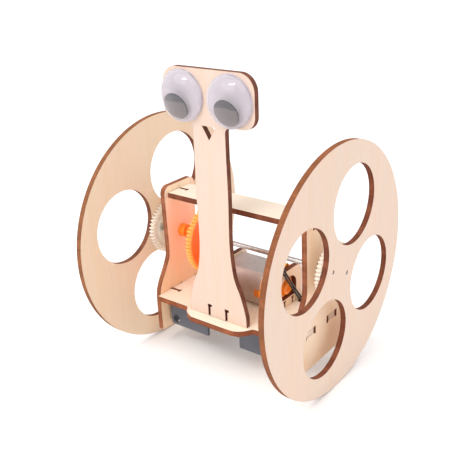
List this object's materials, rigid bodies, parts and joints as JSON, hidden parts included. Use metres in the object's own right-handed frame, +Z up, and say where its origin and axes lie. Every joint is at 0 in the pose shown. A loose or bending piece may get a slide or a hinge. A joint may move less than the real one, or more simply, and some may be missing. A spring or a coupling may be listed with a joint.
{
  "type": "two wheel robot car",
  "caption": "Plywood robot toy with a body hung between large cut-out disc wheels, a geared motor on the deck and a tall neck with googly eyes.",
  "frame": {"origin": "on the wheel axle, midway between the two wheels", "axes": "+Z up, +X along the axle, -Y the way the face looks"},
  "size_m": [0.0888, 0.1, 0.1249],
  "materials": {
    "plywood": "matte",
    "orange_plastic": "satin",
    "white_nylon": "satin",
    "bright_steel": "satin",
    "motor_can_steel": "satin",
    "core_iron": "matte",
    "ferrite": "matte",
    "brass_strip": "satin",
    "bronze": "satin",
    "copper": "gloss",
    "black_wire": "satin",
    "grey_plastic": "satin",
    "foam_tape": "matte",
    "cell_jacket": "gloss",
    "eye_white": "gloss",
    "clear_plastic": "gloss",
    "eye_black": "gloss"
  },
  "bodies": {
    "chassis": {"side_panel_left": "plywood", "side_panel_right": "plywood", "top_plate": "plywood", "lower_deck": "plywood", "neck_board": "plywood", "motor_bracket_left": "plywood", "motor_bracket_right": "plywood", "axle_bush_left": "orange_plastic", "axle_bush_right": "orange_plastic", "motor_can": "motor_can_steel", "motor_end_bell": "orange_plastic", "motor_bearing": "bronze", "motor_magnets": "ferrite", "motor_brushes": "brass_strip", "motor_terminals": "brass_strip", "motor_leads": "black_wire", "battery_holder": "grey_plastic", "battery_contacts": "bright_steel", "contact_springs": "bright_steel", "cell_front": "cell_jacket", "cell_rear": "cell_jacket", "holder_tape": "foam_tape", "eye_back_left": "eye_white", "eye_back_right": "eye_white", "eye_dome_left": "clear_plastic", "eye_dome_right": "clear_plastic"},
    "wheelset": {"axle": "bright_steel", "drive_gear": "orange_plastic", "axle_spacer": "orange_plastic", "hub_gear_left": "white_nylon", "hub_gear_right": "white_nylon", "wheel_left": "plywood", "wheel_right": "plywood", "wheel_screws": "bright_steel"},
    "rotor": {"motor_shaft": "bright_steel", "armature_core": "core_iron", "armature_windings": "copper", "commutator": "copper", "motor_pinion": "white_nylon"},
    "pupil_left": {"eye_pupil_left": "eye_black"},
    "pupil_right": {"eye_pupil_right": "eye_black"}
  },
  "joints": [
    {"name": "wheel_spin", "type": "hinge", "parent": "chassis", "child": "wheelset", "pos_m": [0, 0, 0], "axis": [1, 0, 0], "continuous": true},
    {"name": "motor_spin", "type": "hinge", "parent": "chassis", "child": "rotor", "pos_m": [0, 0.00572, -0.01715], "axis": [1, 0, 0], "continuous": true},
    {"name": "pupil_left_roll", "type": "hinge", "parent": "chassis", "child": "pupil_left", "pos_m": [-0.0114, -0.0218, 0.0646], "axis": [0, 1, 0], "continuous": true},
    {"name": "pupil_right_roll", "type": "hinge", "parent": "chassis", "child": "pupil_right", "pos_m": [0.0104, -0.0218, 0.0646], "axis": [0, 1, 0], "continuous": true}
  ],
  "couplings": [
    {"joint": "motor_spin", "follows": "wheel_spin", "ratio": -4.1429}
  ]
}
